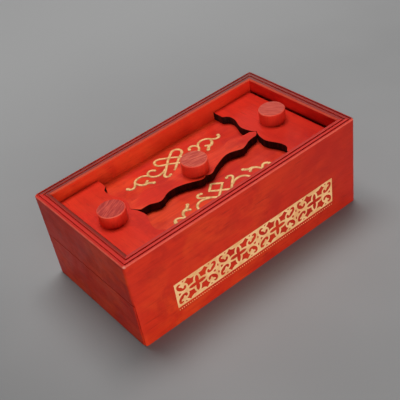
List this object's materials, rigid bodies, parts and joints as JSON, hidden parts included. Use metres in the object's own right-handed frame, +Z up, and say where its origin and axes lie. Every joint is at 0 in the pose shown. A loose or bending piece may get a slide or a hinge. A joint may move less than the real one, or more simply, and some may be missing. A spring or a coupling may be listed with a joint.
{
  "type": "puzzle box",
  "caption": "Low oblong lacquered wooden box with a recessed top where wavy-edged knobbed pieces slide on a decorated panel, and a drawer hidden in the lower half of one end.",
  "frame": {"origin": "middle of the underside of the box", "axes": "+X along the box away from the drawer end, +Y across the box away from the side with the gold band, +Z up"},
  "size_m": [0.19, 0.102, 0.0685],
  "materials": {
    "case_wood": "satin red lacquer",
    "panel_wood": "satin red lacquer with gold scrollwork",
    "tile_wood": "satin red lacquer, dark laser-cut edges",
    "knob_wood": "thin red stain, satin",
    "drawer_wood": "satin red lacquer",
    "plain_wood": "bare sanded wood"
  },
  "bodies": {
    "case": {"near_side_board": "case_wood", "far_side_board": "case_wood", "right_end_board": "case_wood", "left_end_board": "case_wood", "base_board": "plain_wood", "top_panel": "panel_wood", "cleat_left": "plain_wood", "cleat_right": "plain_wood", "near_drawer_guide": "plain_wood", "far_drawer_guide": "plain_wood", "drawer_stop": "plain_wood"},
    "left_slider": {"left_tile": "tile_wood", "left_knob": "knob_wood", "left_keeper": "plain_wood"},
    "right_slider": {"right_tile": "tile_wood", "right_knob": "knob_wood", "right_keeper": "plain_wood"},
    "middle_slider": {"middle_bar": "tile_wood", "middle_knob": "knob_wood", "middle_keeper": "plain_wood"},
    "drawer": {"drawer_front": "drawer_wood", "drawer_near_side": "plain_wood", "drawer_far_side": "plain_wood", "drawer_back": "plain_wood", "drawer_bottom": "plain_wood"}
  },
  "joints": [
    {"name": "bar_slide", "type": "slide", "parent": "case", "child": "middle_slider", "axis": [0, 1, 0], "range_m": [0, 0.007]},
    {"name": "left_tile_slide", "type": "slide", "parent": "case", "child": "left_slider", "axis": [-1, 0, 0], "range_m": [0, 0.0046]},
    {"name": "right_tile_slide", "type": "slide", "parent": "case", "child": "right_slider", "axis": [1, 0, 0], "range_m": [0, 0.0046]},
    {"name": "drawer_slide", "type": "slide", "parent": "case", "child": "drawer", "axis": [-1, 0, 0], "range_m": [0, 0.11]}
  ],
  "couplings": [
    {"joint": "left_tile_slide", "follows": "bar_slide", "ratio": 0.657},
    {"joint": "right_tile_slide", "follows": "bar_slide", "ratio": 0.657}
  ]
}
